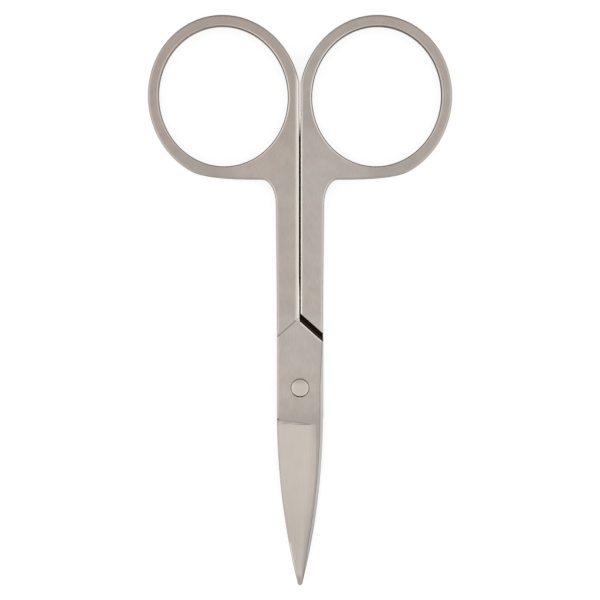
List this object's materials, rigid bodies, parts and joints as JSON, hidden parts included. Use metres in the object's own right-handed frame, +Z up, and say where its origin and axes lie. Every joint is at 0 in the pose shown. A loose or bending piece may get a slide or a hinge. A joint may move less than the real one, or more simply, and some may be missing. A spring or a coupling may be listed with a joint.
{
  "type": "straight nail scissors",
  "caption": "Small straight nail scissors in satin steel: slim pointed blades, oval finger rings and a countersunk rivet pivot that opens wide.",
  "frame": {"origin": "on the pivot's axis, in the plane that the closed scissors rest on: the flat of the lower pivot plate, with the rivet's tail ground flush in it", "axes": "+Y from the pivot towards the finger rings, -Y towards the blade tips, +Z up out of the resting plane along the pivot's axis, +X across, with the upper half's ring on -X"},
  "size_m": [0.048, 0.09, 0.0032],
  "materials": {
    "satin_steel": "satin ground stainless steel, faint lengthwise grinding lines on the blades",
    "rivet_steel": "fine satin, brighter than the halves"
  },
  "bodies": {
    "rear_half": {"rear_blade_half": "satin_steel", "pivot_rivet": "rivet_steel"},
    "front_half": {"front_blade_half": "satin_steel"}
  },
  "joints": [
    {"name": "blade_pivot", "type": "hinge", "parent": "rear_half", "child": "front_half", "pos_m": [0, 0, 0.00153], "axis": [0, 0, 1], "range_deg": [0, 135]}
  ]
}
